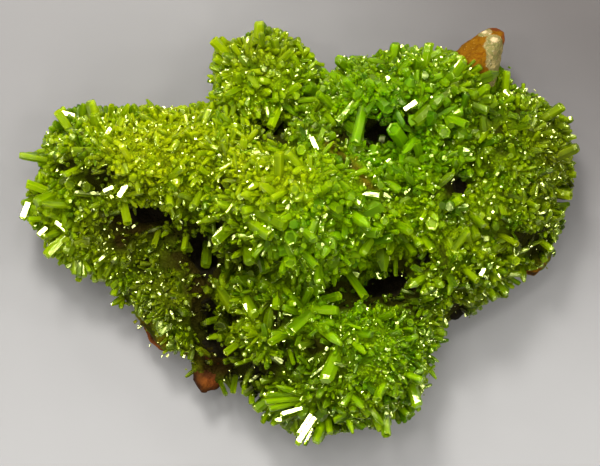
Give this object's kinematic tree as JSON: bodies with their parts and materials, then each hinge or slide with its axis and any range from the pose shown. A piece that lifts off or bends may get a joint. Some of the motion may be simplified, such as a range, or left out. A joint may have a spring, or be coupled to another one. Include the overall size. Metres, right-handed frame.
{
  "type": "pyromorphite specimen",
  "caption": "Display mineral specimen: a crust of green hexagonal prisms grown over a rusty rock that lies on a flat cut back.",
  "frame": {"origin": "the middle of the specimen's box, on the flat cut that it rests on", "axes": "+Z out of the crystal face, away from the cut; +Y towards the end with the round knob; +X towards the side with the bare rusty spur"},
  "size_m": [0.1124, 0.0845, 0.0372],
  "materials": {
    "rock": "matte",
    "crystal": "gloss"
  },
  "bodies": {
    "root": {"matrix": "rock", "crystal_crust": "crystal"}
  },
  "joints": []
}
